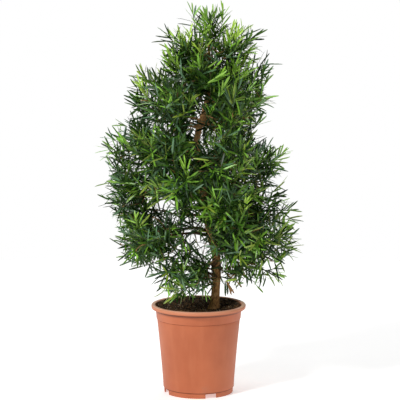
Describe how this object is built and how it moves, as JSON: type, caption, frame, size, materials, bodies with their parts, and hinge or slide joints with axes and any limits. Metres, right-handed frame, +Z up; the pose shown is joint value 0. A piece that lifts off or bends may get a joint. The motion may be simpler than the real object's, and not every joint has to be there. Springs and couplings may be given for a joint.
{
  "type": "potted podocarpus tree",
  "caption": "Young podocarpus tree with a leaning trunk, tapering boughs and masses of narrow evergreen foliage, standing in a round plastic nursery pot.",
  "frame": {"origin": "on the floor under the middle of the pot", "axes": "+Z up along the pot's axis, +X to the right and +Y away from the viewer as the picture shows the plant"},
  "size_m": [0.5064, 0.4822, 0.989],
  "materials": {
    "pot_plastic": "satin terracotta-coloured moulded plastic",
    "soil": "matte dark crumbly potting soil",
    "bark": "matte brown fibrous bark",
    "foliage": "satin dark green narrow leaves with lime young tips"
  },
  "bodies": {
    "root": {"bough_lower_back_left": "bark", "bough_lower_back_right": "bark", "bough_lower_front": "bark", "bough_lower_left": "bark", "bough_lower_right": "bark", "bough_mid_back_left": "bark", "bough_mid_back_right": "bark", "bough_mid_front": "bark", "bough_mid_front_left": "bark", "bough_mid_front_right": "bark", "bough_mid_left": "bark", "bough_mid_left_high": "bark", "bough_mid_right": "bark", "bough_shoulder_back_left": "bark", "bough_shoulder_back_right": "bark", "bough_shoulder_front_left": "bark", "bough_shoulder_front_right": "bark", "bough_shoulder_left": "bark", "bough_shoulder_right": "bark", "bough_skirt_left": "bark", "bough_skirt_right": "bark", "bough_waist_back": "bark", "bough_waist_front": "bark", "bough_waist_left": "bark", "bough_waist_right": "bark", "crown_tip": "foliage", "lower_back_left": "foliage", "lower_back_right": "foliage", "lower_front": "foliage", "lower_left": "foliage", "lower_right": "foliage", "mid_back_left": "foliage", "mid_back_right": "foliage", "mid_front": "foliage", "mid_front_left": "foliage", "mid_front_right": "foliage", "mid_left": "foliage", "mid_left_high": "foliage", "mid_right": "foliage", "pot": "pot_plastic", "shoulder_back_left": "foliage", "shoulder_back_right": "foliage", "shoulder_front_left": "foliage", "shoulder_front_right": "foliage", "shoulder_left": "foliage", "shoulder_right": "foliage", "skirt_left": "foliage", "skirt_right": "foliage", "soil": "soil", "trunk": "bark", "upper_back": "foliage", "upper_front": "foliage", "upper_left": "foliage", "upper_right": "foliage", "waist_back": "foliage", "waist_front": "foliage", "waist_left": "foliage", "waist_right": "foliage"}
  },
  "joints": []
}
